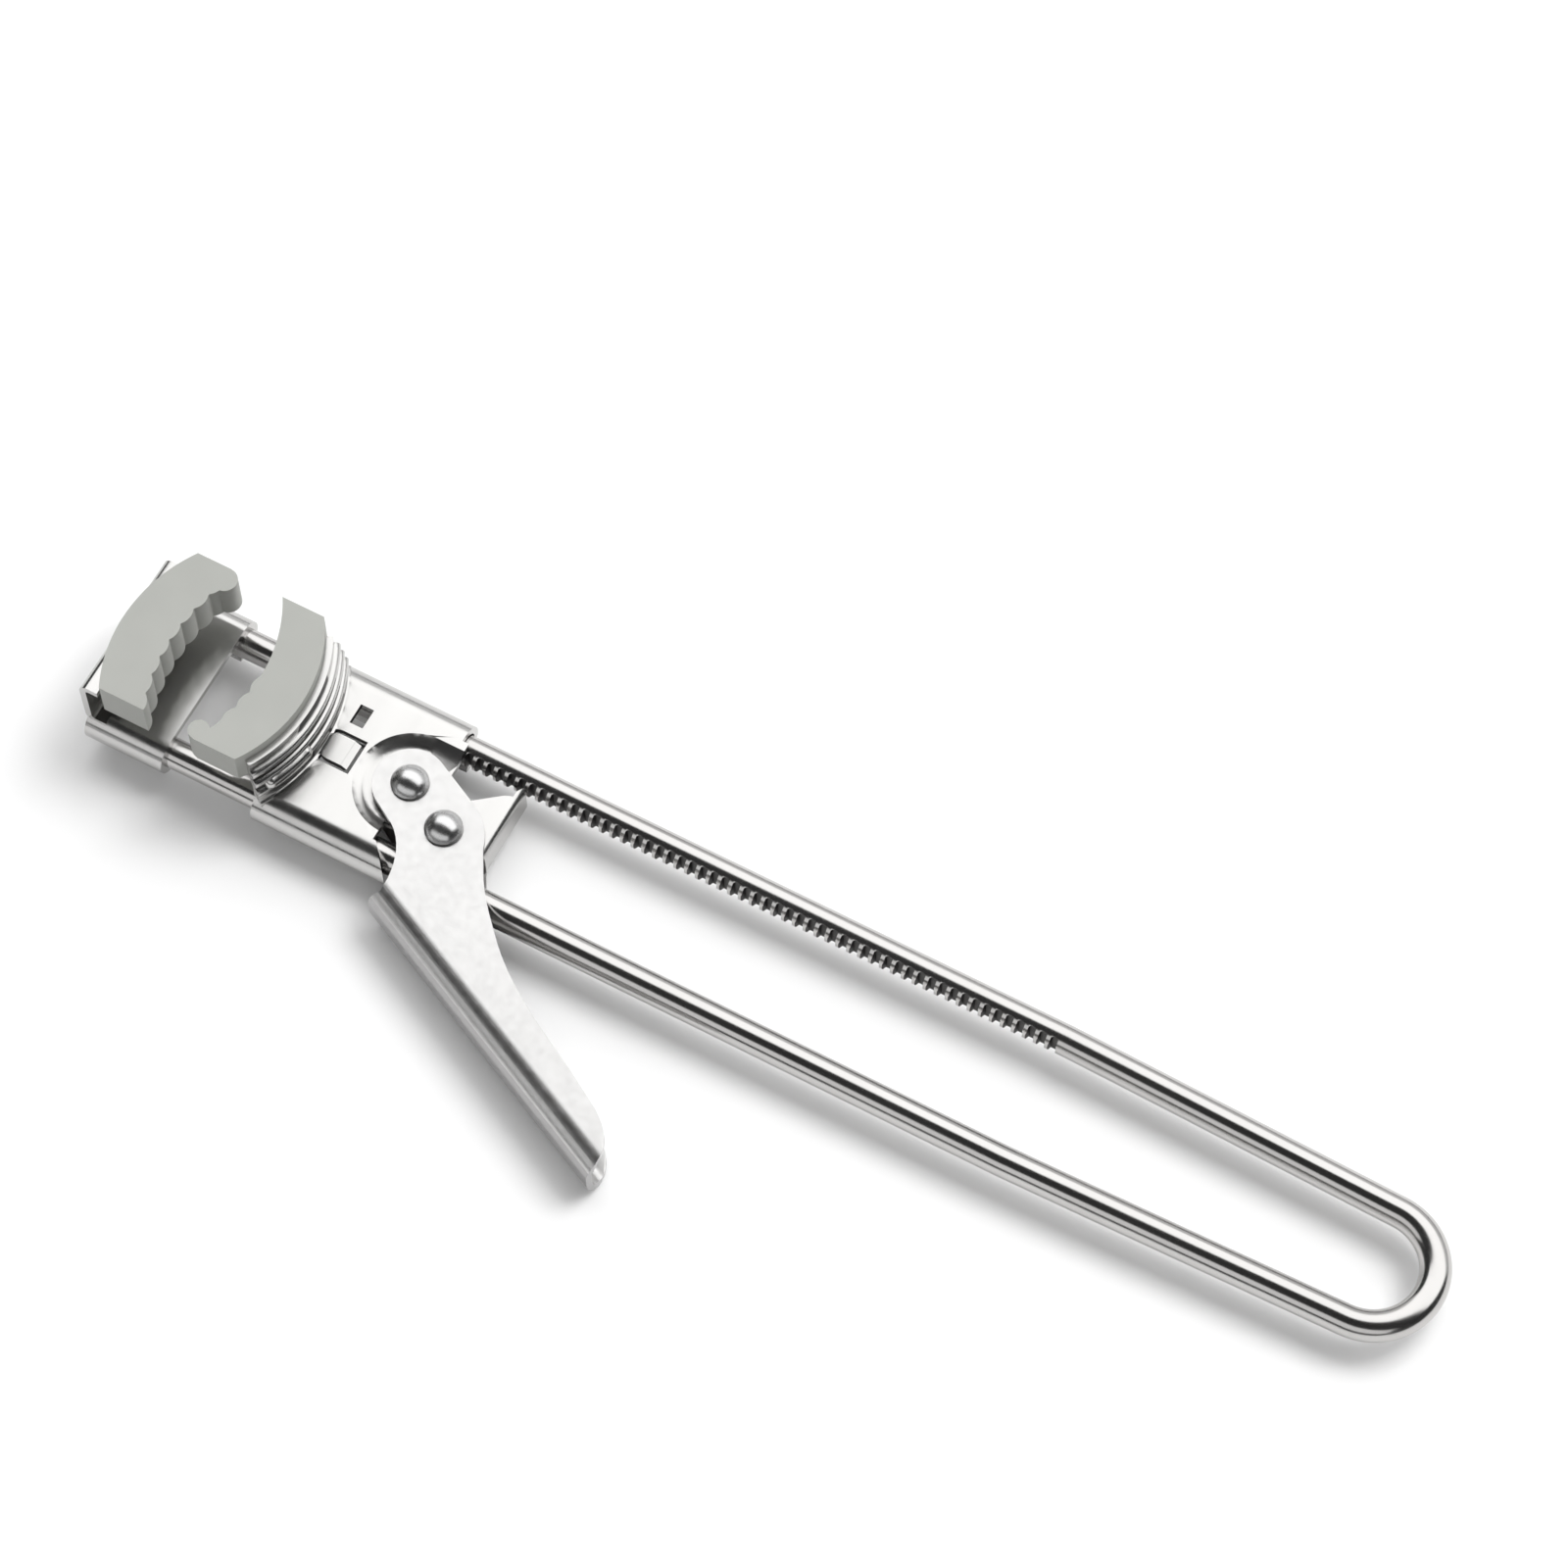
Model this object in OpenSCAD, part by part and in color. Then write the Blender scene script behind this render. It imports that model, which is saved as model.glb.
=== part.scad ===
// Adjustable ratchet lid opener: a wire loop handle with a fixed jaw on its head, a sliding
// carriage with the second jaw, and a squeeze lever whose pawl walks the carriage along a rack.
// The tool lies flat. +X points to the loop end, +Y to the toothed leg, +Z up.
// The origin is at the bottom centre of the bounding box.

/* [Loop handle] */
// Overall length, head face to loop end
overall_length = 241.1; // [220:0.1:270]
// Diameter of the bent rod
rod_d = 5.2; // [4.6:0.1:5.6]
// Centre distance of the two legs
leg_pitch = 23.4; // [22.4:0.1:24.4]
// Centre-line radius of the loop end
loop_r = 10.2; // [8:0.1:11]
// Length over which the legs converge to the loop
taper_length = 58; // [40:1:60]

/* [Rack] */
// Tooth pitch of the rack
rack_pitch = 2; // [1.6:0.1:2.4]
// Depth of the tooth gaps
rack_depth = 1.35; // [0.8:0.05:1.6]
// Number of tooth gaps
rack_gaps = 56; // [30:1:57]

/* [Sheet metal] */
// Sheet thickness of head, carriage and lever
sheet_t = 1.2; // [1:0.05:1.4]
// Radial play between a carriage curl and its leg
curl_play = 0.3; // [0.2:0.05:0.4]
// Angle that the curls wrap past the underside of the legs
curl_wrap = 35; // [20:1:45]

/* [Head and fixed jaw] */
// Length of the head along the legs
head_length = 15; // [13:0.1:16]
// Height of the folded front wall above the rod axis
head_wall_h = 14.4; // [13:0.1:15]
// Length of the folded front wall
head_wall_w = 27; // [22:0.5:28]

/* [Jaw pads] */
// Clear gap between the jaws on the centre line
jaw_gap = 16.7; // [14:0.1:60]
// Width of the fixed pad on the centre line
fixed_pad_w = 8.9; // [7:0.1:9.5]
// Top of both pads above the rod axis
pad_top = 16.5; // [15.5:0.1:18]
// Height of the fixed pad
fixed_pad_h = 7.5; // [6.5:0.1:9]
// Height of the moving pad
moving_pad_h = 7; // [5:0.1:8]

/* [Carriage] */
// Length of the carriage curls
carriage_length = 25.6; // [24:0.1:27]
// Radius of the curved jaw wall, outer face
jaw_wall_r = 27; // [26:0.1:28]
// Height of the jaw wall above the rod axis
jaw_wall_h = 14.6; // [13:0.1:15.4]
// Radius of the dished pocket round the pivot
pocket_r = 9.6; // [9:0.1:10]
// Depth of the dished pocket
pocket_depth = 1.2; // [1:0.05:1.4]

/* [Lever and pawl] */
// Angle of the lever blade from the legs at rest
lever_angle = 24.9; // [22:0.1:26]
// Distance from the pivot to the lever tip
lever_reach = 72.7; // [60:0.1:78]
// Height of the folded lever channel
lever_h = 10.7; // [10.5:0.05:11]
// Distance from the crease of the lever to its outer web
lever_fold = 2.2; // [1.6:0.1:2.6]
// Outer bend radius of the lever channel
lever_bend_r = 4; // [2.4:0.1:4.5]
// Radius of the round pivot end of the lever
lever_head_r = 6.3; // [5.6:0.1:6.6]
// Sheet thickness of the pawl
pawl_t = 1; // [0.8:0.05:1.1]
// Diameter of the rivet heads
rivet_head_d = 6.5; // [6:0.1:7]
// Diameter of the rivet shanks
rivet_d = 3.2; // [2.8:0.1:3.6]

/* [Show] */
// Piece to draw

/* [Hidden] */
$fn = 96;
eps = 0.01;
steel = [0.78, 0.78, 0.79];
pad_grey = [0.73, 0.73, 0.71];

leg_half = leg_pitch / 2;
rod_r = rod_d / 2;

// Heights above the rod axis
rivet_tail_h = 1;
lever_top = 4.9;
lever_bot = lever_top - lever_h;
lever_under = lever_top - sheet_t;
lever_floor = lever_bot + sheet_t;
carriage_r_in = rod_r + curl_play;
carriage_top = carriage_r_in + sheet_t;
pocket_top = carriage_top - pocket_depth;
pocket_under = pocket_top - sheet_t;
pawl_top = lever_under - 0.3;
pawl_bot = lever_floor + 0.3;

// The pivot is the reference of every moving piece; x is counted from it
fixed_pad_face = 0.7;
moving_pad_w = 8.4;
jaw_wall_apex = -18;
moving_pad_back = jaw_wall_apex - sheet_t - 0.05;
moving_pad_face = moving_pad_back - moving_pad_w;
head_x = moving_pad_face - jaw_gap - fixed_pad_w - fixed_pad_face;
loop_x = head_x + overall_length - loop_r - rod_r;

// Bounding box: lever tip on one side, carriage curl or fixed pad on the other
fixed_pad_y = 15.6;
far_y = max(fixed_pad_y, leg_half + carriage_top);
tip_y = -lever_reach * sin(lever_angle) - (15 + lever_fold) * cos(lever_angle);
shift_x = -overall_length / 2 - head_x;
shift_y = -(tip_y + far_y) / 2;
shift_z = rivet_tail_h - lever_bot;

pawl_pivot = [9, -4.6];
pawl_wall_x = 16.9;
rack_start = 3.2;

module at_tool() translate([shift_x, shift_y, shift_z]) children();

// Points of a cubic curve
function curve(a, b, c, d, n = 10) =
    [for (i = [0 : n]) let (t = i / n, s = 1 - t)
        s * s * s * a + 3 * s * s * t * b + 3 * s * t * t * c + t * t * t * d];

// Half disc on the -X side
module half_disc(r) intersection() {
    circle(r = r);
    translate([-2 * r, -2 * r]) square([2 * r, 4 * r]);
}

// ---- loop handle -------------------------------------------------------------------------

knee = [loop_x - taper_length, leg_half];
converge = acos(loop_r / norm([leg_half, taper_length])) - atan2(taper_length, leg_half);
loop_start = [loop_x + loop_r * sin(converge), loop_r * cos(converge)];
leg_start = head_x + 0.8;
joint_gap = 0.05;

module rod_between(a, b, cut_a, cut_b) {
    d = b - a;
    translate([a[0], a[1], 0]) rotate([0, 0, atan2(d[1], d[0])]) translate([cut_a, 0, 0])
        rotate([0, 90, 0]) cylinder(d = rod_d, h = norm(d) - cut_a - cut_b);
}

// The ball closes the joint between two lengths of rod
module joint_ball(p, turn) translate([p[0], p[1], 0]) rotate([0, 0, turn]) rotate([0, 90, 0])
    sphere(r = rod_r + 0.015);

module straight_leg() rod_between([leg_start, leg_half], knee, 0, joint_gap);

module converging_leg() {
    joint_ball(knee, -converge / 2);
    rod_between(knee, loop_start, joint_gap, joint_gap);
    joint_ball(loop_start, -converge);
}

module loop_end() {
    trim = converge + joint_gap / loop_r * 180 / PI;
    translate([loop_x, 0, 0]) rotate([0, 0, trim - 90])
        rotate_extrude(angle = 180 - 2 * trim) translate([loop_r, 0]) circle(d = rod_d);
}

// One slanted tooth gap, open to the inside of the loop
module rack_gap(x) {
    root = rack_pitch * 0.22;
    mouth = rack_pitch * 0.34;
    translate([x, leg_half - rod_r, -rod_r]) linear_extrude(rod_d)
        polygon([[-mouth - 0.1, -1], [mouth + 0.1, -1], [root + 0.35, rack_depth],
                 [0.15 - root, rack_depth]]);
}

module rod_frame() color(steel) at_tool() {
    difference() {
        straight_leg();
        for (i = [0 : rack_gaps - 1]) rack_gap(rack_start + i * rack_pitch);
    }
    mirror([0, 1, 0]) straight_leg();
    for (s = [0, 1]) mirror([0, s, 0]) converging_leg();
    loop_end();
}

// ---- sheet that wraps round both legs ----------------------------------------------------

// Section across the tool: x is the tool's y, y is the height
module curl_half(r_in) {
    far = 2 * (r_in + sheet_t);
    end = 270 - curl_wrap;
    translate([leg_half, 0]) difference() {
        circle(r = r_in + sheet_t);
        circle(r = r_in);
        polygon([[0, 0], [0, far], [-far, far], [-far, -far],
                 [far * cos(end), far * sin(end)]]);
    }
}

module curl_section(r_in) {
    curl_half(r_in);
    mirror([1, 0]) curl_half(r_in);
    translate([-leg_half, r_in]) square([leg_pitch, sheet_t]);
}

module curl_sheet(x, len, r_in)
    translate([x, 0, 0]) rotate([90, 0, 90]) linear_extrude(len) curl_section(r_in);

// ---- head --------------------------------------------------------------------------------

head_r_in = rod_r + 0.02;
wall_lip = 3.6;
wall_bend_r = 1.9;

// Section of the folded front wall: x along the tool, y up
module front_wall_section() difference() {
    union() {
        translate([0, head_r_in + wall_bend_r]) square([sheet_t, head_wall_h - head_r_in
            - 2 * wall_bend_r]);
        translate([wall_bend_r, head_r_in]) square([wall_bend_r, sheet_t]);
        translate([wall_bend_r, head_wall_h - sheet_t]) square([wall_lip - wall_bend_r, sheet_t]);
        for (z = [head_r_in + wall_bend_r, head_wall_h - wall_bend_r])
            translate([wall_bend_r, z]) intersection() {
                difference() {
                    circle(r = wall_bend_r);
                    circle(r = wall_bend_r - sheet_t);
                }
                translate([-wall_bend_r, z > head_wall_h / 2 ? 0 : -wall_bend_r])
                    square([wall_bend_r, wall_bend_r]);
            }
    }
}

module head_plate() color(steel) at_tool() {
    difference() {
        curl_sheet(head_x + 0.2, head_length - 0.2, head_r_in);
        translate([head_x - 1, -head_wall_w / 2 - 0.4, head_r_in - 1])
            cube([1 + wall_bend_r, head_wall_w + 0.8 - 5.2, sheet_t + 2]);
    }
    translate([head_x, head_wall_w / 2 - 0.4, 0]) rotate([90, 0, 0])
        linear_extrude(head_wall_w) front_wall_section();
}

// ---- jaw pads ----------------------------------------------------------------------------

fixed_face_r = 34;
fixed_back_r = 28.5;
fixed_end_y = -13.6;
lobe_r = 3;
lobe_pitch = 3.4;
lobe_in = sqrt(pow(lobe_r, 2) - pow(lobe_pitch / 2, 2));

// Crescent between a rounded back and a hollow gripping face with rounded lobes
module fixed_pad_outline() {
    back_x = head_x + fixed_pad_face;
    face_c = back_x + fixed_pad_w + fixed_face_r;
    lobe_c = fixed_face_r + lobe_in;
    difference() {
        intersection() {
            translate([back_x + fixed_back_r, 0]) circle(r = fixed_back_r, $fn = 180);
            translate([head_x, fixed_end_y]) square([11.9, fixed_pad_y - fixed_end_y]);
        }
        translate([face_c, 0]) circle(r = fixed_face_r, $fn = 180);
    }
    intersection() {
        for (i = [-3 : 4]) translate([face_c, 0])
            rotate([0, 0, 180 + asin((i - 0.35) * lobe_pitch / fixed_face_r)])
                translate([lobe_c, 0]) circle(r = lobe_r, $fn = 48);
        translate([head_x + 6, fixed_end_y]) square([20, 26.7]);
    }
    translate([back_x + 11.15, 13.4]) circle(r = 2.15, $fn = 48);
}

module fixed_jaw_pad() color(pad_grey) at_tool() difference() {
    translate([0, 0, pad_top - fixed_pad_h]) linear_extrude(fixed_pad_h) fixed_pad_outline();
    translate([head_x - 1, -head_wall_w / 2 - 0.5, 0])
        cube([1 + wall_lip + 0.05, head_wall_w + 0.2, head_wall_h + 0.05]);
}

jaw_centre = jaw_wall_apex - jaw_wall_r;

module moving_pad_outline() {
    back_r = jaw_wall_r - sheet_t - 0.05;
    face_r = 28;
    face_c = moving_pad_face - face_r;
    difference() {
        intersection() {
            translate([jaw_centre, 0]) circle(r = back_r, $fn = 180);
            translate([jaw_centre, -14.3]) square([40, 29.4]);
        }
        translate([face_c, 0]) circle(r = face_r, $fn = 180);
    }
    for (y = [-0.9, -4.3, -7.7]) translate([face_c, 0]) rotate([0, 0, asin(y / face_r)])
        translate([face_r + lobe_in, 0]) circle(r = lobe_r, $fn = 48);
    translate([moving_pad_face - 3.9, -12.4]) circle(r = 1.8, $fn = 48);
}

module moving_jaw_pad() color(pad_grey) at_tool()
    translate([0, 0, pad_top - moving_pad_h]) linear_extrude(moving_pad_h) moving_pad_outline();

// ---- carriage ----------------------------------------------------------------------------

carriage_front = 4 - carriage_length;
carriage_rear = 4.7;
wall_span = 30;
wall_step = 0.45;
bead_r = 0.95;

// Section of the stepped jaw wall: x is the radius, y the height
module jaw_wall_section() {
    r = jaw_wall_r;
    ri = r - sheet_t;
    foot = carriage_r_in + 0.05;
    foot_top = carriage_top - 0.03;
    polygon([[ri + 2 * wall_step, foot], [r + 4 * wall_step + 0.3, foot],
             [r + 4 * wall_step + 0.3, foot_top], [r + 4 * wall_step - 0.1, foot_top + 0.2],
             [r + 3 * wall_step + 0.05, foot_top + 0.75], [r + 2 * wall_step, 6.9],
             [r + 2 * wall_step, 7.3], [r + wall_step, 9.6], [r, 10.6], [r, jaw_wall_h],
             [ri, jaw_wall_h], [ri, 9.9], [ri + wall_step, 9.5], [ri + wall_step, 7.2],
             [ri + 2 * wall_step, 6.8]]);
    // raised beads, each standing further out than the one above
    for (i = [0 : 2]) translate([r + 0.05 + i * wall_step, 11.55 - i * 2.55])
        circle(r = bead_r, $fn = 32);
}

module jaw_wall() {
    translate([jaw_centre, 0, 0]) rotate([0, 0, -wall_span])
        rotate_extrude(angle = 2 * wall_span) jaw_wall_section();
    // long stiffening rib on one side of the wall
    translate([jaw_centre, 0, 7.7]) {
        rotate([0, 0, -24]) rotate_extrude(angle = 15)
            translate([jaw_wall_r + 1.1, 0]) circle(r = 1.3, $fn = 40);
        for (a = [-24, -9]) rotate([0, 0, a]) translate([jaw_wall_r + 1.1, 0, 0])
            rotate([0, 90, 0]) sphere(r = 1.32, $fn = 40);
    }
}

pocket_slope = 2.4;

// Flat bottom of the pocket and its sloped sides
module pocket_shape(r) {
    half_disc(r);
    translate([0, -r]) square([carriage_rear + 2, 2 * r]);
}

module pocket() {
    flat_r = pocket_r - pocket_slope;
    translate([0, 0, pocket_under]) linear_extrude(sheet_t) pocket_shape(flat_r);
    rotate([0, 0, 90]) rotate_extrude(angle = 180) pocket_slope_section();
    for (s = [0, 1]) mirror([0, s, 0]) rotate([90, 0, 90]) linear_extrude(carriage_rear + 1)
        pocket_slope_section();
}

module pocket_slope_section() {
    flat_r = pocket_r - pocket_slope;
    polygon([[flat_r - eps, pocket_under], [flat_r - eps, pocket_top],
             [pocket_r + eps, carriage_top], [pocket_r + eps, carriage_r_in]]);
}

tab_x = -14.6;
tab_r = 2.5;
tab_y = 0.2;
tab_gap = 0.8;

// Spring tab, cut free all round but for a thin neck, and folded down at its end
module spring_tab() {
    z = carriage_r_in;
    translate([tab_x, tab_y, z]) linear_extrude(sheet_t + 0.15) {
        half_disc(tab_r);
        translate([0, -tab_r]) square([2.65, 2 * tab_r]);
    }
    translate([tab_x + 2.6, tab_y - tab_r + 0.05, z + sheet_t + 0.1]) rotate([0, 32, 0])
        translate([0, 0, -sheet_t]) cube([1.3, 2 * tab_r - 0.1, sheet_t]);
    translate([tab_x - tab_r - tab_gap - 0.3, tab_y - 0.7, z + 0.03]) cube([2, 1.4, 0.55]);
}

module carriage_cuts() {
    // space in front of the jaw wall
    translate([jaw_centre, 0, 0]) cylinder(r = jaw_wall_r + 0.2, h = 8, $fn = 180);
    // spring tab window
    translate([tab_x, tab_y, 0]) linear_extrude(8) {
        half_disc(tab_r + tab_gap);
        translate([0, -tab_r - tab_gap]) square([4.5, 2 * (tab_r + tab_gap)]);
    }
    // slot beside the tab
    translate([-14.7, 5.3, 0]) cube([2.5, 3.8, 8]);
    // pocket opening
    translate([0, 0, 1]) linear_extrude(8) pocket_shape(pocket_r);
}

module rear_cuts() {
    // everything behind the rear edge
    translate([carriage_rear, -leg_half + 3, -10]) cube([10, leg_pitch, 20]);
    translate([carriage_rear - 1.2, leg_half - 0.6, -10]) cube([10, 8, 20]);
    // corner cleared for the lever neck
    translate([-0.5, -11.4, 0]) cube([10, 3.8, 10]);
    // slanted end of the lower curl
    translate([-0.5, -leg_half + 1, -10]) rotate([0, 0, -50]) cube([20, 12, 20]);
    translate([-0.5, -leg_half - 0.3, -10]) cube([20, 4.2, 10.2]);
}

module carriage_plate() color(steel) at_tool() difference() {
    union() {
        difference() {
            curl_sheet(carriage_front, carriage_rear - carriage_front + 0.5, carriage_r_in);
            carriage_cuts();
        }
        jaw_wall();
        pocket();
        spring_tab();
    }
    rear_cuts();
    translate([0, 0, -10]) cylinder(d = rivet_d + 0.1, h = 20);
}

// ---- lever -------------------------------------------------------------------------------

crease = 15;
heel_u = 12.9;

// Plan of the lever, x along the blade and y across it
module lever_outline() {
    half_disc(lever_head_r);
    web = crease + lever_fold;
    tip = lever_reach;
    polygon(concat(
        [[0, lever_head_r], [0, -lever_head_r]],
        curve([4.2, -6.7], [8.2, -7.4], [11.6, -11.2], [heel_u, -crease]),
        [[heel_u - 0.7, -web + 0.6], [heel_u - 0.9, -web - 1], [tip, -web - 1]],
        curve([tip - 0.1, -15.6], [tip - 0.9, -12.4], [tip - 2.8, -10.6], [tip - 7.7, -9.7]),
        curve([tip - 16, -8.9], [43, -8.2], [37, -7.4], [30, -4.5]),
        curve([27, -3.3], [24, -2], [21.5, -0.7], [19, 1.2]),
        curve([17, 2.6], [15.2, 4.6], [13, 6], [9.5, 6.1])));
}

// Folded channel section: x across the blade, y up
module channel_section(web, reach, top, bottom, t, r_out) {
    for (z = [bottom, top - t]) translate([web + r_out, z]) square([reach, t]);
    translate([web, bottom + r_out]) square([t, top - bottom - 2 * r_out]);
    for (z = [bottom + r_out, top - r_out]) translate([web + r_out, z]) intersection() {
        difference() {
            circle(r = r_out);
            circle(r = r_out - t);
        }
        translate([-r_out, z > (top + bottom) / 2 ? 0 : -r_out]) square([r_out, r_out]);
    }
}

module lever() color(steel) at_tool() rotate([0, 0, -lever_angle]) difference() {
    intersection() {
        translate([-10, 0, 0]) rotate([90, 0, 90]) linear_extrude(lever_reach + 20)
            channel_section(-crease - lever_fold, 34, lever_top, lever_bot, sheet_t, lever_bend_r);
        translate([0, 0, -10]) linear_extrude(20) lever_outline();
    }
    for (p = [[0, 0], pawl_pivot]) rotate([0, 0, lever_angle]) translate([p[0], p[1], -10])
        cylinder(d = rivet_d + 0.1, h = 20);
}

// ---- pawl --------------------------------------------------------------------------------

tooth_y = leg_half - rod_r - 0.15;

module pawl_outline() {
    b = pawl_pivot;
    translate(b) circle(r = 3.4);
    polygon([b + [-1, -1], b + [1.6, -2.7], [pawl_wall_x, -5.2], [pawl_wall_x, tooth_y - 0.5],
             [pawl_wall_x - 0.5, tooth_y], [pawl_wall_x - 1.2, tooth_y - 1.4],
             [pawl_wall_x - 1.2, 6.5], [14.3, 5.9], [9.6, 2.2], b + [-2, 1.6]]);
}

module pawl() color(steel) at_tool() difference() {
    intersection() {
        translate([0, 20, 0]) rotate([90, 0, 0]) linear_extrude(40) mirror([1, 0])
            channel_section(-pawl_wall_x, 30, pawl_top, pawl_bot, pawl_t, 1.8);
        translate([0, 0, -10]) linear_extrude(20) pawl_outline();
    }
    translate([pawl_pivot[0], pawl_pivot[1], -10]) cylinder(d = rivet_d + 0.1, h = 20);
}

// ---- rivets, washer, bushes and spring ---------------------------------------------------

module rivet() {
    dome_h = 2.1;
    neck_h = 0.45;
    dome_r = (pow(rivet_head_d / 2, 2) + dome_h * dome_h) / (2 * dome_h);
    translate([0, 0, lever_top + neck_h]) rotate_extrude() intersection() {
        translate([0, dome_h - dome_r]) circle(r = dome_r, $fn = 128);
        square([rivet_head_d, dome_h + 1]);
    }
    translate([0, 0, lever_top]) cylinder(d1 = rivet_head_d - 1.8, d2 = rivet_head_d - 0.5,
        h = neck_h + 0.02);
    translate([0, 0, lever_bot - 0.5]) cylinder(d = rivet_d, h = lever_h + 1);
    translate([0, 0, lever_bot - rivet_tail_h]) cylinder(d1 = 4.6, d2 = 5.4, h = rivet_tail_h);
}

module pivot_rivet() color(steel) at_tool() rivet();

module pawl_rivet() color(steel) at_tool() translate([pawl_pivot[0], pawl_pivot[1], 0]) rivet();

module ring(d, z0, z1) translate([0, 0, z0]) difference() {
    cylinder(d = d, h = z1 - z0);
    translate([0, 0, -1]) cylinder(d = rivet_d + 0.1, h = z1 - z0 + 2);
}

module pivot_washer() color(steel) at_tool() ring(8, pocket_top, lever_under - 0.05);

module pivot_bush() color(steel) at_tool() ring(6, lever_floor + 0.05, pocket_under);

module pawl_bush() color(steel) at_tool() translate([pawl_pivot[0], pawl_pivot[1], 0])
    ring(4.6, pawl_bot + pawl_t + 0.05, pawl_top - pawl_t - 0.05);

spring_wire = 1.12;
spring_leg = 1;
spring_r = 4;
spring_z = [-2.6, 0.6];
spring_turns = 4;

// Close-wound torsion spring: one leg under the tab, the other behind the pawl bush
module return_spring() color(steel) at_tool() {
    pitch = (spring_z[1] - spring_z[0]) / (spring_turns - 1);
    rotate_extrude() for (i = [0 : spring_turns - 1])
        translate([spring_r, spring_z[0] + i * pitch]) circle(d = spring_wire, $fn = 32);
    translate([-0.2, spring_r, spring_z[1]]) rotate([0, -90, 0])
        cylinder(d = spring_leg, h = 12.4, $fn = 32);
    rotate([0, 0, 57]) translate([spring_r, -0.2, spring_z[0]]) rotate([90, 0, 0])
        cylinder(d = spring_leg, h = 9.8, $fn = 32);
}

rod_frame();
head_plate();
fixed_jaw_pad();
carriage_plate();
moving_jaw_pad();
lever();
pawl();
pivot_rivet();
pawl_rivet();
pivot_washer();
pivot_bush();
pawl_bush();
return_spring();
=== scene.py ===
import math

import bmesh
import bpy
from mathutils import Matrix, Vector


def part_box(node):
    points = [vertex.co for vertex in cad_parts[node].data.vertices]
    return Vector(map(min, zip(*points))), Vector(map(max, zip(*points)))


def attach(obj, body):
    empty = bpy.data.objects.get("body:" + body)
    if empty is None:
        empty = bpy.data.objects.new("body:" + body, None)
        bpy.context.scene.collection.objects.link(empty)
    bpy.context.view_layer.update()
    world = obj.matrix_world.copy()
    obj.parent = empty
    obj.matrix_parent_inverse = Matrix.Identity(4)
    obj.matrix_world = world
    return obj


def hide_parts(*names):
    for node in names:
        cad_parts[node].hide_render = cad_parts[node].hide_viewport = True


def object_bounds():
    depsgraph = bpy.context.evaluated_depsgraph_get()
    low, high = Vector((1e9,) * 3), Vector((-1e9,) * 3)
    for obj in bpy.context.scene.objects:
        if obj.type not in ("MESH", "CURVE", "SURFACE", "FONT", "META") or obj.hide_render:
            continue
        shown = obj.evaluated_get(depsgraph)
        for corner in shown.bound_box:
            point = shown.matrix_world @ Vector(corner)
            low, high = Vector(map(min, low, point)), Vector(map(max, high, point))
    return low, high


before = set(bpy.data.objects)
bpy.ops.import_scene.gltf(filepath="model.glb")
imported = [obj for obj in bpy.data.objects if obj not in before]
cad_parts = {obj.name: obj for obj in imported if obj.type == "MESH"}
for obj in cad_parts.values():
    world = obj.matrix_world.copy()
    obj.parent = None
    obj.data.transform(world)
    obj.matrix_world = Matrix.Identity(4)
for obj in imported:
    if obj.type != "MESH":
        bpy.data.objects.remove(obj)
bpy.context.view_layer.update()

MM = 0.001

# ---------------------------------------------------------------- materials


def new_material(name):
    mat = bpy.data.materials.new(name)
    mat.use_nodes = True
    return mat, mat.node_tree.nodes, mat.node_tree.links


def steel(name, tint, rough, bump, grain, streak=(1, 1, 1)):
    """Bare steel: brushed noise in gloss and bump, and a faint cloud in the tint."""
    mat, nodes, links = new_material(name)
    bsdf = nodes["Principled BSDF"]
    bsdf.inputs["Metallic"].default_value = 1.0
    coord = nodes.new("ShaderNodeTexCoord")
    stretch = nodes.new("ShaderNodeMapping")
    stretch.inputs["Scale"].default_value = streak
    links.new(coord.outputs["Object"], stretch.inputs["Vector"])
    brush = nodes.new("ShaderNodeTexNoise")
    brush.inputs["Scale"].default_value = grain
    brush.inputs["Detail"].default_value = 6.0
    links.new(stretch.outputs["Vector"], brush.inputs["Vector"])
    cloud = nodes.new("ShaderNodeTexNoise")
    cloud.inputs["Scale"].default_value = 60.0
    cloud.inputs["Detail"].default_value = 3.0
    links.new(coord.outputs["Object"], cloud.inputs["Vector"])
    gloss = nodes.new("ShaderNodeMapRange")
    gloss.inputs["From Min"].default_value = 0.3
    gloss.inputs["From Max"].default_value = 0.7
    gloss.inputs["To Min"].default_value = rough * 0.88
    gloss.inputs["To Max"].default_value = rough * 1.14
    links.new(brush.outputs["Fac"], gloss.inputs["Value"])
    links.new(gloss.outputs["Result"], bsdf.inputs["Roughness"])
    color = nodes.new("ShaderNodeValToRGB")
    color.color_ramp.elements[0].position = 0.35
    color.color_ramp.elements[0].color = (*[c * 0.965 for c in tint], 1)
    color.color_ramp.elements[1].position = 0.7
    color.color_ramp.elements[1].color = (*tint, 1)
    links.new(cloud.outputs["Fac"], color.inputs["Fac"])
    links.new(color.outputs["Color"], bsdf.inputs["Base Color"])
    relief = nodes.new("ShaderNodeBump")
    relief.inputs["Strength"].default_value = bump
    relief.inputs["Distance"].default_value = 0.00002
    links.new(brush.outputs["Fac"], relief.inputs["Height"])
    links.new(relief.outputs["Normal"], bsdf.inputs["Normal"])
    return mat


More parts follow.
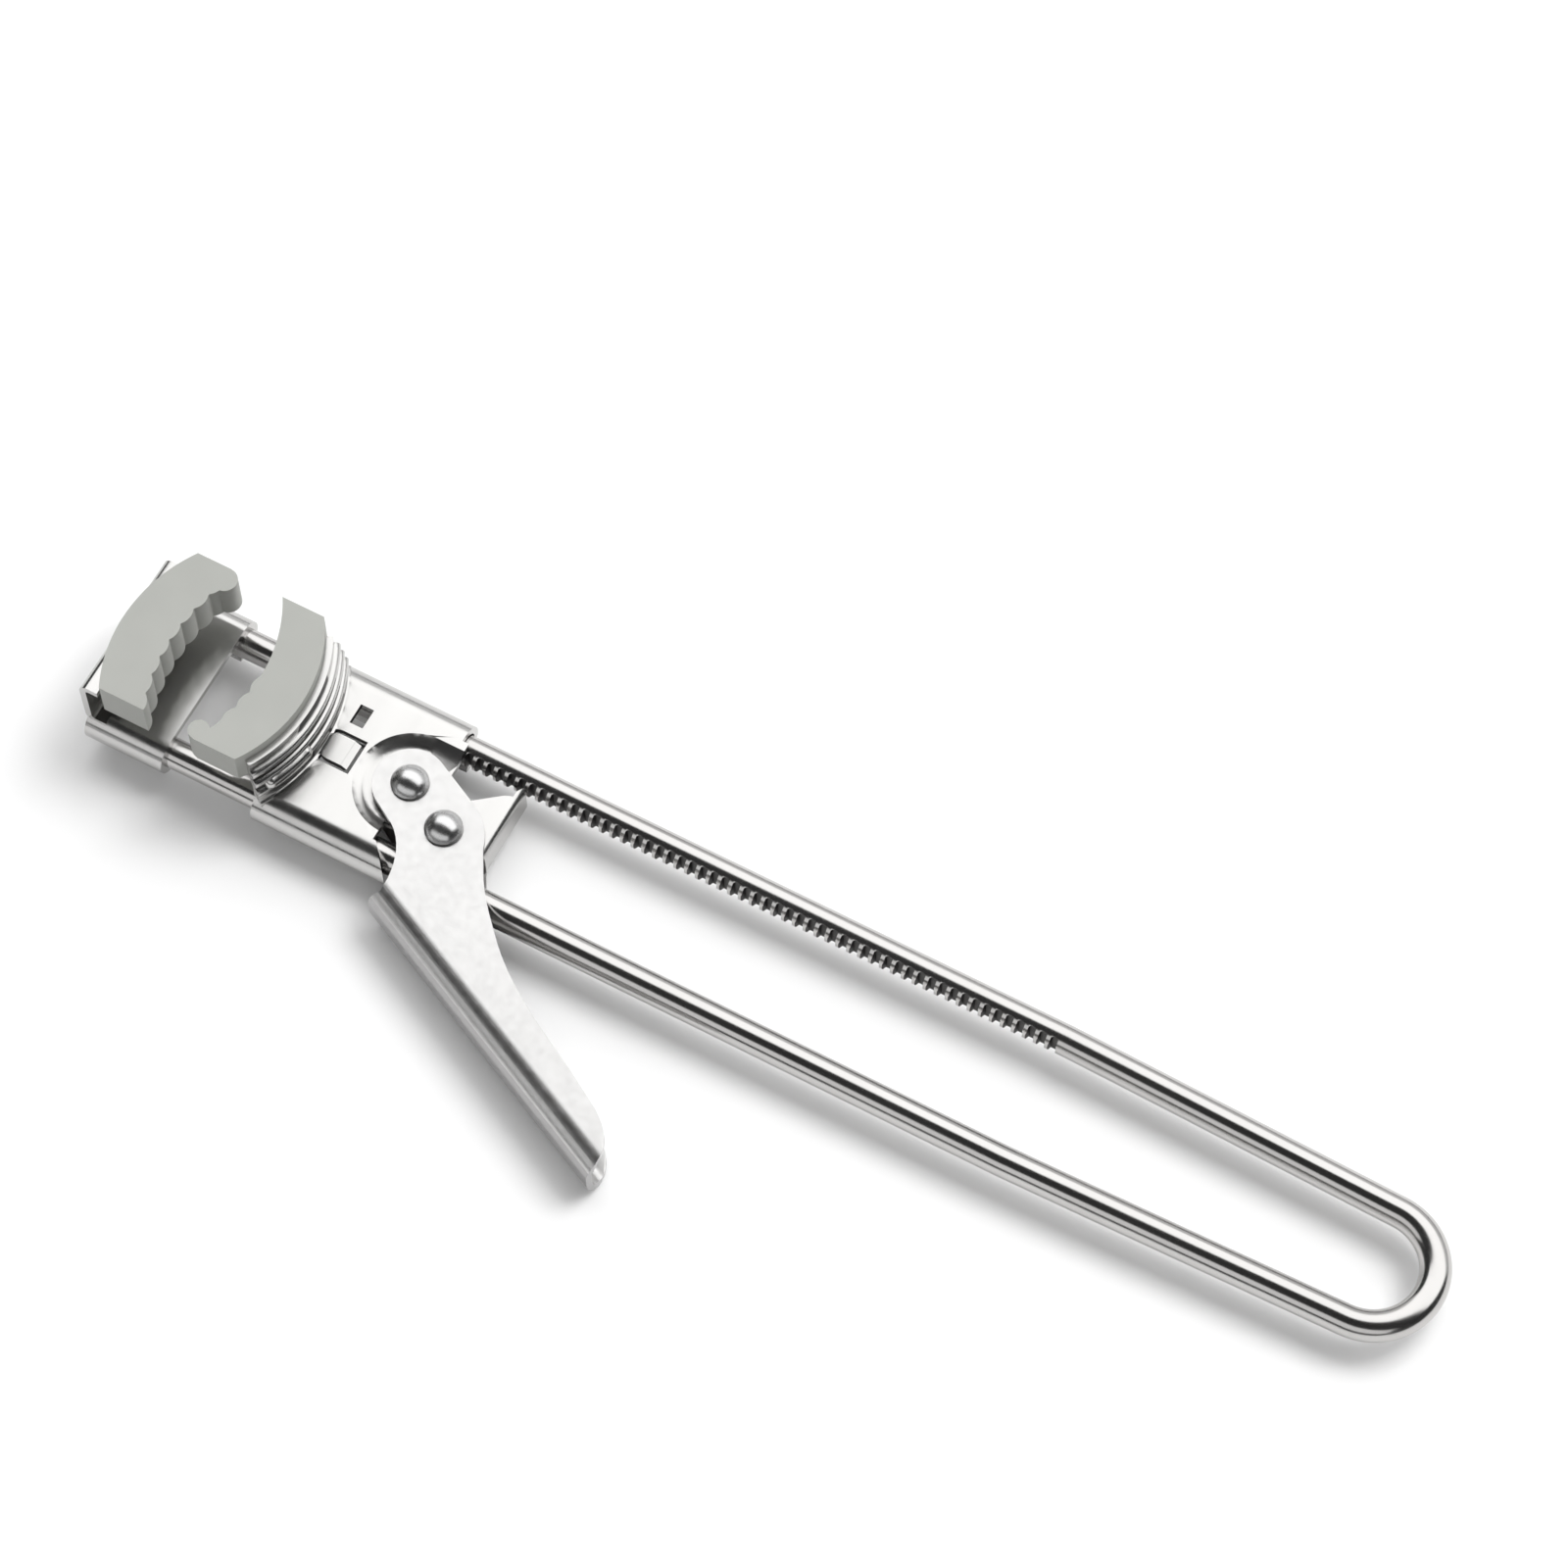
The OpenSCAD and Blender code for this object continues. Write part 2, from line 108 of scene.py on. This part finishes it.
def plastic(name, tint):
    """Matt moulded plastic with a faint mottle and a fine grain."""
    mat, nodes, links = new_material(name)
    bsdf = nodes["Principled BSDF"]
    bsdf.inputs["Roughness"].default_value = 0.55
    coord = nodes.new("ShaderNodeTexCoord")
    mottle = nodes.new("ShaderNodeTexNoise")
    mottle.inputs["Scale"].default_value = 90.0
    links.new(coord.outputs["Object"], mottle.inputs["Vector"])
    color = nodes.new("ShaderNodeValToRGB")
    color.color_ramp.elements[0].position = 0.3
    color.color_ramp.elements[0].color = (*[c * 0.94 for c in tint], 1)
    color.color_ramp.elements[1].position = 0.7
    color.color_ramp.elements[1].color = (*tint, 1)
    links.new(mottle.outputs["Fac"], color.inputs["Fac"])
    links.new(color.outputs["Color"], bsdf.inputs["Base Color"])
    fine = nodes.new("ShaderNodeTexNoise")
    fine.inputs["Scale"].default_value = 2600.0
    links.new(coord.outputs["Object"], fine.inputs["Vector"])
    relief = nodes.new("ShaderNodeBump")
    relief.inputs["Strength"].default_value = 0.15
    relief.inputs["Distance"].default_value = 0.00003
    links.new(fine.outputs["Fac"], relief.inputs["Height"])
    links.new(relief.outputs["Normal"], bsdf.inputs["Normal"])
    return mat


ROD = steel("rod_steel", (0.54, 0.53, 0.52), 0.19, 0.06, 300, (0.1, 1, 1))
SHEET = steel("sheet_steel", (0.57, 0.565, 0.555), 0.24, 0.05, 300, (1, 0.15, 1))
LEVER = steel("lever_steel", (0.61, 0.606, 0.6), 0.33, 0.02, 700)
# Darker copy of the lever steel: painted shade for the lever's web faces that face -Y
LEVER_SIDE_SHADE = steel("lever_side_painted_shade_steel", (0.42, 0.415, 0.415), 0.33, 0.03, 700)
RIVET = steel("rivet_steel", (0.6, 0.6, 0.6), 0.27, 0.05, 400)
PLAIN = steel("hidden_steel", (0.4, 0.4, 0.4), 0.35, 0.2, 300)
SPRING = steel("spring_steel", (0.4, 0.4, 0.4), 0.3, 0.2, 300)
# Near-black steel: partly the real unpolished cut and machined faces, partly painted shade for the
# dark places under the carriage, in its slot and in the rack gaps
UNPOLISHED_AND_SHADE = steel("unpolished_and_painted_shade_steel", (0.09, 0.088, 0.085), 0.5, 0.3, 500)
PAD = plastic("pad_plastic", (0.37, 0.375, 0.352))

# ---------------------------------------------------------------- pieces

bush_low, bush_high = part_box("pivot_bush")
rod_low, rod_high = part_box("rod_frame")
ORIGIN = Vector((
    (bush_low[0] + bush_high[0]) / 2, (bush_low[1] + bush_high[1]) / 2, (rod_low[2] + rod_high[2]) / 2
))


def at(x, y, z):
    """Millimetres from the lever pivot and the rod axis, to the frame's metres."""
    return ORIGIN + Vector((x, y, z)) * MM


BODY = {
    "rod_frame": "frame", "head_plate": "frame", "fixed_jaw_pad": "frame",
    "carriage_plate": "carriage", "moving_jaw_pad": "carriage", "pivot_rivet": "carriage",
    "pivot_washer": "carriage", "pivot_bush": "carriage", "return_spring": "carriage",
    "lever": "lever", "pawl_rivet": "lever", "pawl_bush": "lever", "pawl": "pawl",
}


def add_piece(name, bm, mat, body, nodes, sharp=35.0):
    """Turns a bmesh into a smooth-shaded piece that stands for CAD nodes."""
    mesh = bpy.data.meshes.new(name)
    bmesh.ops.recalc_face_normals(bm, faces=bm.faces)
    bm.to_mesh(mesh)
    bm.free()
    mesh.shade_smooth()
    mesh.set_sharp_from_angle(angle=math.radians(sharp))
    mesh.materials.append(mat)
    piece = bpy.data.objects.new(name, mesh)
    bpy.context.scene.collection.objects.link(piece)
    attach(piece, body)
    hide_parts(*nodes)
    return piece


def round_edges(piece, width, segments=2, angle=33.0):
    """Small radius on the sharp edges, with flats kept flat in shading."""
    edge = piece.modifiers.new("edges", "BEVEL")
    edge.limit_method = "ANGLE"
    edge.angle_limit = math.radians(angle)
    edge.width = width * MM
    edge.segments = segments
    edge.use_clamp_overlap = True
    edge.harden_normals = True
    edge.miter_outer = "MITER_ARC"
    even = piece.modifiers.new("even", "WEIGHTED_NORMAL")
    even.mode = "FACE_AREA"
    even.weight = 100
    even.keep_sharp = True
    return piece


def second_material(piece, mat, where):
    """Gives the faces that where(centre, normal) picks a second material."""
    piece.data.materials.append(mat)
    for face in piece.data.polygons:
        if where(face.center, face.normal):
            face.material_index = 1


def refined(node, mat, width, join=True):
    """Copy of a CAD node with its coplanar facets joined and its edges rounded."""
    bm = bmesh.new()
    bm.from_mesh(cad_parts[node].data)
    bmesh.ops.remove_doubles(bm, verts=bm.verts, dist=2e-6)
    if join:
        bmesh.ops.dissolve_limit(
            bm, angle_limit=math.radians(0.3), verts=bm.verts, edges=bm.edges,
            use_dissolve_boundaries=False
        )
    piece = add_piece(node + "_fine", bm, mat, BODY[node], [node])
    return round_edges(piece, width)


refined("head_plate", SHEET, 0.12, join=False)
carriage = refined("carriage_plate", SHEET, 0.1, join=False)
# The carriage's underside and the cut walls of its slot and tab get the near-black steel: painted
# shade under the carriage and in the slot, on top of the real unpolished cut edge
cuts = at(-14.6, 2.4, 0)
second_material(carriage, UNPOLISHED_AND_SHADE, lambda p, n: p.z > ORIGIN.z and (
    n.z < -0.6 or (abs(n.z) < 0.3 and abs(p.x - cuts.x) < 4.4 * MM and abs(p.y - cuts.y) < 6 * MM)))
lever = refined("lever", LEVER, 0.18, join=False)
# The web's upright faces towards -Y get the darker copy: painted shade
second_material(lever, LEVER_SIDE_SHADE, lambda p, n: abs(n.z) < 0.5 and n.y < 0)
refined("pawl", SHEET, 0.12)
refined("fixed_jaw_pad", PAD, 0.3)
refined("moving_jaw_pad", PAD, 0.3)
refined("pivot_rivet", RIVET, 0.1)
refined("pawl_rivet", RIVET, 0.1)
for node in ("pivot_washer", "pivot_bush", "pawl_bush"):
    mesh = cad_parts[node].data
    mesh.materials.clear()
    mesh.materials.append(PLAIN)


def tube(bm, points, radii, sides, shape=None):
    """Sweeps a round section along points; shape(ring number, vertex) may reshape a vertex."""
    rings = []
    side = None
    for i, p in enumerate(points):
        q, r = points[max(i - 1, 0)], points[min(i + 1, len(points) - 1)]
        t = (r - q).normalized()
        if side is None:
            side = t.cross(Vector((0, 0, 1))).normalized()
        side = (side - t * side.dot(t)).normalized()
        up = side.cross(t)
        ring = []
        for k in range(sides):
            a = 2 * math.pi * (k + 0.5) / sides
            v = p + (side * math.cos(a) + up * math.sin(a)) * radii[i]
            ring.append(bm.verts.new(shape(i, v) if shape else v))
        rings.append(ring)
    for one, two in zip(rings, rings[1:]):
        for k in range(sides):
            bm.faces.new((one[k], one[(k + 1) % sides], two[(k + 1) % sides], two[k]))
    bm.faces.new(list(reversed(rings[0])))
    bm.faces.new(rings[-1])


# Loop handle: one rod with rack teeth filed in the inner side of the far leg
ROD_R = (rod_high[2] - rod_low[2]) / 2 / MM
LEG = (rod_high[1] - rod_low[1]) / 2 / MM - ROD_R
LOOP_R, TAPER = 10.2, 58.0
START = (rod_low[0] - ORIGIN[0]) / MM
LOOP_X = (rod_high[0] - ORIGIN[0]) / MM - LOOP_R - ROD_R
RACK_START, RACK_PITCH, RACK_GAPS, RACK_DEPTH = 3.2, 2.0, 56, 1.35
lean = math.acos(LOOP_R / math.hypot(LEG, TAPER)) - math.atan2(TAPER, LEG)

route = [(START, -LEG, 0), (START + 0.45, -LEG, 0)]
route += [(START + (LOOP_X - TAPER - 1.5 - START) * i / 12, -LEG, 0) for i in range(1, 13)]
joint = (LOOP_X + LOOP_R * math.sin(lean), LOOP_R * math.cos(lean))
route += [(LOOP_X - TAPER + (joint[0] - LOOP_X + TAPER) * i / 6,
           -LEG + (LEG - joint[1]) * i / 6, 0) for i in range(1, 6)]
for i in range(49):
    a = -math.pi / 2 + lean + (math.pi - 2 * lean) * i / 48
    route.append((LOOP_X + LOOP_R * math.cos(a), LOOP_R * math.sin(a), 0))
route += [(joint[0] - (joint[0] - LOOP_X + TAPER) * i / 6, joint[1] + (LEG - joint[1]) * i / 6, 0)
          for i in range(1, 6)]
route.append((LOOP_X - TAPER - 1.5, LEG, 0))
for i in reversed(range(RACK_GAPS)):
    x = RACK_START + RACK_PITCH * i
    cuts = ((0.98, 0), (0.88, 0.05), (0.81, 0.22), (0.77, RACK_DEPTH), (-0.29, RACK_DEPTH),
            (-0.5, 0.22), (-0.58, 0.05), (-0.7, 0))
    route += [(x + dx, LEG, depth) for dx, depth in cuts]
route += [(START + (RACK_START - 3 - START) * (1 - i / 6), LEG, 0) for i in range(6)]
route += [(START + 0.45, LEG, 0), (START, LEG, 0)]

bm = bmesh.new()
radii = [ROD_R * MM] * len(route)
radii[0] = radii[-1] = (ROD_R - 0.45) * MM


def rack_shape(i, v):
    depth = route[i][2]
    if depth:
        v.y = max(v.y, ORIGIN.y + (LEG - ROD_R + depth) * MM)
    return v


tube(bm, [at(x, y, 0) for x, y, depth in route], radii, 56, rack_shape)
rod = add_piece("rod_frame_smooth", bm, ROD, "frame", ["rod_frame"], 40.0)
gap_floor = at(0, LEG - ROD_R + RACK_DEPTH, 0).y
# The walls and floors of the rack gaps get the near-black steel: painted shade in the tooth gaps,
# partly the real machined finish
second_material(rod, UNPOLISHED_AND_SHADE, lambda p, n: p.y > ORIGIN.y and ORIGIN.x < p.x < at(116, 0, 0).x and (
    abs(n.x) > 0.6 or (n.y < -0.95 and abs(p.y - gap_floor) < 2e-5)))

# Torsion spring: a real helix with its two straight legs
bm = bmesh.new()
COIL_R, WIRE, LOW, HIGH, TURNS = 4.0, 0.5, -2.55, 0.55, 3.45
leg_a = math.radians(57)
end_a = math.radians(90) + 2 * math.pi * 3
coil = []
for i in range(121):
    a = leg_a + (end_a - leg_a) * i / 120
    coil.append(at(COIL_R * math.cos(a), COIL_R * math.sin(a), LOW + (HIGH - LOW) * i / 120))
coil.append(at(-12.3, COIL_R, HIGH))
tube(bm, coil, [WIRE * MM] * len(coil), 16)
add_piece("return_spring_wound", bm, SPRING, "carriage", ["return_spring"], 60.0)

# Its free arm presses on the lever, so it turns with it about the same axis
bm = bmesh.new()
root = Vector((COIL_R * math.cos(leg_a), COIL_R * math.sin(leg_a), LOW))
along = Vector((math.sin(leg_a), -math.cos(leg_a), 0))
tube(bm, [at(*(root + along * d)) for d in (-0.2, 0, 9.4)], [WIRE * MM] * 3, 16)
add_piece("return_spring_arm", bm, SPRING, "lever", ["return_spring"], 60.0)

# ---------------------------------------------------------------- floor, light, camera

low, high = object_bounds()
floor_mesh = bpy.data.meshes.new("floor")
bm = bmesh.new()
bmesh.ops.create_grid(bm, x_segments=1, y_segments=1, size=3)
bm.to_mesh(floor_mesh)
bm.free()
floor = bpy.data.objects.new("floor", floor_mesh)
bpy.context.scene.collection.objects.link(floor)
floor.location.z = low[2]
mat, nodes, links = new_material("floor_white")
nodes["Principled BSDF"].inputs["Base Color"].default_value = (0.86, 0.86, 0.86, 1)
nodes["Principled BSDF"].inputs["Roughness"].default_value = 0.9
nodes["Principled BSDF"].inputs["Specular IOR Level"].default_value = 0.1
floor_mesh.materials.append(mat)

world = bpy.data.worlds.new("studio")
world.use_nodes = True
bpy.context.scene.world = world
world.node_tree.nodes["Background"].inputs["Color"].default_value = (1, 1, 1, 1)
world.node_tree.nodes["Background"].inputs["Strength"].default_value = 0.03


def softbox(name, tilt, distance, height, width, radiance):
    """Long soft light: tilt is its angle from straight up, towards -Y if positive."""
    data = bpy.data.lights.new(name, "AREA")
    data.shape = "RECTANGLE"
    data.size, data.size_y = width, height
    data.energy = radiance * math.pi * width * height
    light = bpy.data.objects.new(name, data)
    bpy.context.scene.collection.objects.link(light)
    t = math.radians(tilt)
    light.location = Vector((0, -math.sin(t), math.cos(t))) * distance
    light.rotation_euler = (t, 0, 0)


softbox("back_box", -34.2, 1.3, 1.26, 3.4, 1.8)
softbox("back_low", -72.0, 1.3, 0.55, 3.4, 0.75)
softbox("front_box", 59.0, 1.5, 0.85, 3.4, 0.95)



def plain_light(name, place, side, energy):
    """Square light that polished steel does not mirror; it lights the floor and the pads."""
    data = bpy.data.lights.new(name, "AREA")
    data.shape = "RECTANGLE"
    data.size, data.size_y = side, side
    data.energy = energy
    light = bpy.data.objects.new(name, data)
    bpy.context.scene.collection.objects.link(light)
    light.location = place
    light.rotation_euler = light.location.to_track_quat("Z", "Y").to_euler()
    light.visible_glossy = False


plain_light("fill", (0.28, 0.42, 0.9), 0.45, 4.6)
plain_light("overhead", (0.0, 0.0, 1.3), 1.6, 5.6)

# Camera: aimed at a point of the tool, from the photograph's side and height
AZIMUTH, ELEVATION, DISTANCE, ROLL = 28.035, 63.603, 0.8006, 0.107
TARGET = ORIGIN + Vector((53.02, 30.93, 0)) * MM
cam_data = bpy.data.cameras.new("camera")
cam = bpy.data.objects.new("camera", cam_data)
bpy.context.scene.collection.objects.link(cam)
az, el = math.radians(AZIMUTH), math.radians(ELEVATION)
back = Vector((math.cos(el) * math.sin(az), -math.cos(el) * math.cos(az), math.sin(el)))
cam.location = TARGET + back * DISTANCE
cam.rotation_euler = back.to_track_quat("Z", "Y").to_euler()
cam.rotation_euler.rotate_axis("Z", math.radians(ROLL))
cam_data.sensor_width = 36
cam_data.lens = 4946.4 / 1600 * 36
cam_data.clip_start = 0.01
bpy.context.scene.camera = cam
bpy.context.scene.view_settings.view_transform = "Standard"
